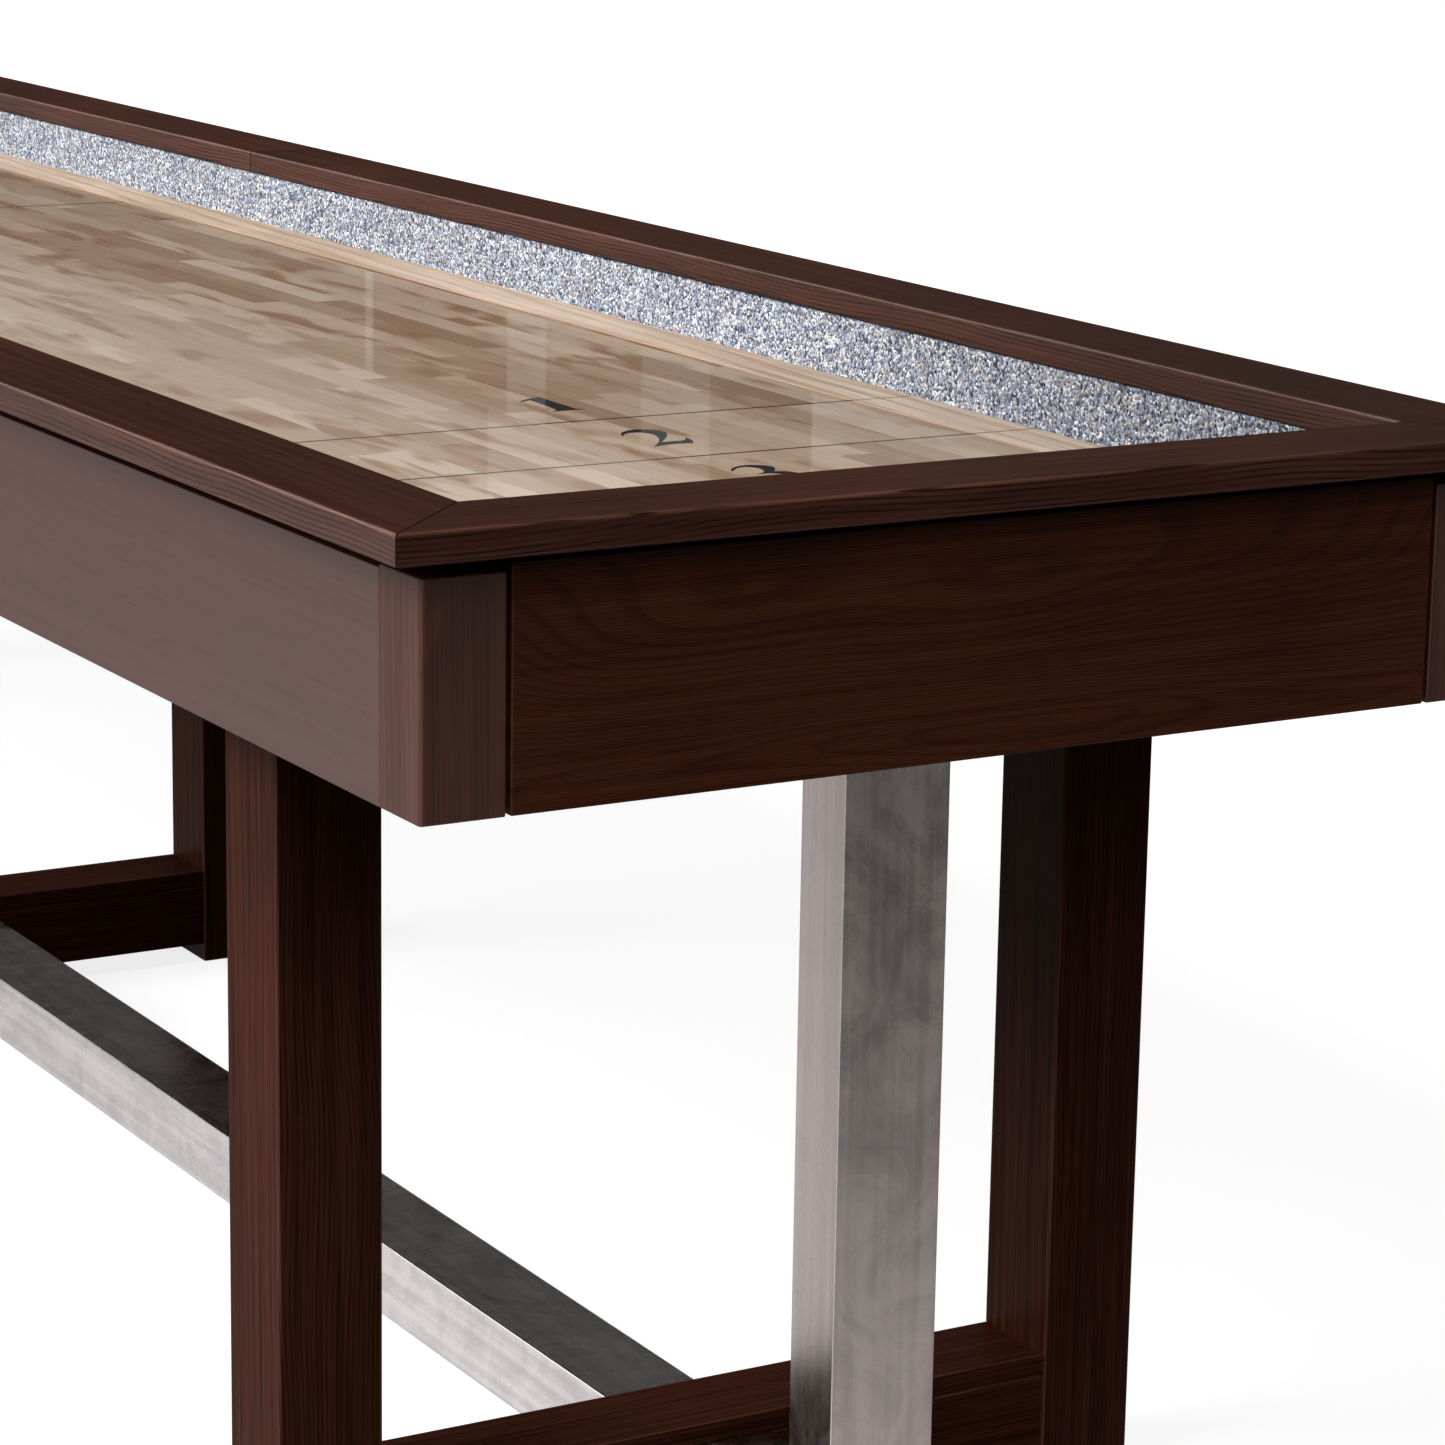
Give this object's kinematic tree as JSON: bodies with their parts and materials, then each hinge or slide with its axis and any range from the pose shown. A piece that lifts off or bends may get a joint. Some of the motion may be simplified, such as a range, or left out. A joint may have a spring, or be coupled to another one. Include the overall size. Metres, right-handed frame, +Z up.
{
  "type": "shuffleboard table",
  "caption": "Long shuffleboard table with mitred timber rails, carpeted gutters, a laminated maple playfield, timber leg frames and a steel stretcher between steel end posts.",
  "frame": {"origin": "on the floor under the middle of the table", "axes": "+X along the length to the right-hand end, +Y across to the far side, +Z up"},
  "size_m": [3.6576, 0.8128, 0.7874],
  "materials": {
    "rail_wood": "dark espresso stain, open grain, satin",
    "panel_wood": "dark espresso stain, satin",
    "leg_wood": "dark espresso stain, open vertical grain, satin",
    "inner_board": "bare softwood and ply, unfinished",
    "maple_core": "laminated maple staves under the clear coat",
    "maple_edge": "straight-grained pale maple, low sheen",
    "clear_finish": "thick clear polymer coat over maple, high gloss",
    "carpet": "speckled blue-grey, white and black loop pile",
    "brushed_steel": "brushed stainless steel",
    "zinc_steel": "zinc-plated steel"
  },
  "bodies": {
    "table": {"side_rail_near_left": "rail_wood", "side_apron_near_left": "panel_wood", "corner_post_near_left": "panel_wood", "side_rail_near_right": "rail_wood", "side_apron_near_right": "panel_wood", "corner_post_near_right": "panel_wood", "side_rail_far_left": "rail_wood", "side_apron_far_left": "panel_wood", "corner_post_far_left": "panel_wood", "side_rail_far_right": "rail_wood", "side_apron_far_right": "panel_wood", "corner_post_far_right": "panel_wood", "end_rail_left": "rail_wood", "end_apron_left": "panel_wood", "end_rail_right": "rail_wood", "end_apron_right": "panel_wood", "gutter_wall_near": "inner_board", "gutter_floor_near": "inner_board", "gutter_carpet_near": "carpet", "playfield_edge_near": "maple_edge", "gutter_wall_far": "inner_board", "gutter_floor_far": "inner_board", "gutter_carpet_far": "carpet", "playfield_edge_far": "maple_edge", "gutter_wall_left_end": "inner_board", "gutter_floor_left_end": "inner_board", "gutter_carpet_left_end": "carpet", "bearer_left_end": "inner_board", "steel_post_left": "brushed_steel", "climate_bar_left": "zinc_steel", "gutter_wall_right_end": "inner_board", "gutter_floor_right_end": "inner_board", "gutter_carpet_right_end": "carpet", "bearer_right_end": "inner_board", "steel_post_right": "brushed_steel", "climate_bar_right": "zinc_steel", "bearer_left": "inner_board", "crossbar_left": "leg_wood", "leg_left_near": "leg_wood", "leg_left_far": "leg_wood", "bearer_mid": "inner_board", "crossbar_mid": "leg_wood", "leg_mid_near": "leg_wood", "leg_mid_far": "leg_wood", "bearer_right": "inner_board", "crossbar_right": "leg_wood", "leg_right_near": "leg_wood", "leg_right_far": "leg_wood", "playfield_core": "maple_core", "playfield_finish": "clear_finish", "steel_stretcher_left": "brushed_steel", "steel_stretcher_right": "brushed_steel"},
    "climate_screw_left": {"climate_screw_left": "zinc_steel"},
    "climate_screw_right": {"climate_screw_right": "zinc_steel"},
    "leveller_left_near": {"leveller_left_near": "zinc_steel"},
    "leveller_left_far": {"leveller_left_far": "zinc_steel"},
    "leveller_mid_near": {"leveller_mid_near": "zinc_steel"},
    "leveller_mid_far": {"leveller_mid_far": "zinc_steel"},
    "leveller_right_near": {"leveller_right_near": "zinc_steel"},
    "leveller_right_far": {"leveller_right_far": "zinc_steel"}
  },
  "joints": [
    {"name": "climate_screw_left_turn", "type": "hinge", "parent": "table", "child": "climate_screw_left", "pos_m": [-0.73285, 0, 0.64], "axis": [0, 0, 1], "range_deg": [-360, 360]},
    {"name": "climate_screw_right_turn", "type": "hinge", "parent": "table", "child": "climate_screw_right", "pos_m": [0.73285, 0, 0.64], "axis": [0, 0, 1], "range_deg": [-360, 360]},
    {"name": "leveller_left_near_screw_out", "type": "slide", "parent": "table", "child": "leveller_left_near", "axis": [0, 0, -1], "range_m": [0, 0.02]},
    {"name": "leveller_left_far_screw_out", "type": "slide", "parent": "table", "child": "leveller_left_far", "axis": [0, 0, -1], "range_m": [0, 0.02]},
    {"name": "leveller_mid_near_screw_out", "type": "slide", "parent": "table", "child": "leveller_mid_near", "axis": [0, 0, -1], "range_m": [0, 0.02]},
    {"name": "leveller_mid_far_screw_out", "type": "slide", "parent": "table", "child": "leveller_mid_far", "axis": [0, 0, -1], "range_m": [0, 0.02]},
    {"name": "leveller_right_near_screw_out", "type": "slide", "parent": "table", "child": "leveller_right_near", "axis": [0, 0, -1], "range_m": [0, 0.02]},
    {"name": "leveller_right_far_screw_out", "type": "slide", "parent": "table", "child": "leveller_right_far", "axis": [0, 0, -1], "range_m": [0, 0.02]}
  ]
}
